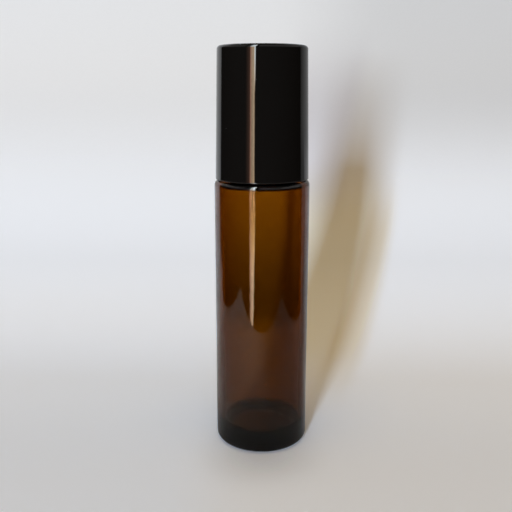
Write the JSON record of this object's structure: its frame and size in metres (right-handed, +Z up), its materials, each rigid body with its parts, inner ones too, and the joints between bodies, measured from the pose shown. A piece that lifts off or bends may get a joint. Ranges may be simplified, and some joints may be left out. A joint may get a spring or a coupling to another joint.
{
  "type": "roll on bottle",
  "caption": "Amber glass roll-on bottle with a screw neck, a steel roller ball in a push-in housing, and a tall glossy black screw cap.",
  "frame": {"origin": "centre of the base, on the surface the bottle stands on", "axes": "+Z up along the bottle's axis, from the base to the cap's top; X and Y are across it"},
  "size_m": [0.02, 0.02, 0.0851],
  "materials": {
    "amber_glass": "clear polished amber glass, slightly wavy",
    "natural_plastic": "milky natural polyethylene, satin",
    "polished_steel": "polished stainless steel",
    "seal_foam": "soft white foam, fine closed cells",
    "black_liner": "moulded black polypropylene, satin",
    "black_gloss": "glossy black, faint handling marks"
  },
  "bodies": {
    "bottle": {"glass_bottle": "amber_glass", "roller_housing": "natural_plastic"},
    "ball": {"roller_ball": "polished_steel"},
    "seal": {"seal_disc": "seal_foam"},
    "cap": {"cap_liner": "black_liner", "cap_shell": "black_gloss"}
  },
  "joints": [
    {"name": "cap_rise", "type": "slide", "parent": "bottle", "child": "seal", "axis": [0, 0, 1], "range_m": [0, 0.025]},
    {"name": "cap_turn", "type": "hinge", "parent": "seal", "child": "cap", "pos_m": [0, 0, 0.05835], "axis": [0, 0, 1], "range_deg": [0, 3600]},
    {"name": "ball_roll", "type": "hinge", "parent": "bottle", "child": "ball", "pos_m": [0, 0, 0.0745], "axis": [1, 0, 0], "continuous": true}
  ],
  "couplings": [
    {"joint": "cap_rise", "follows": "cap_turn", "m_per_rad": 0.00039789}
  ]
}
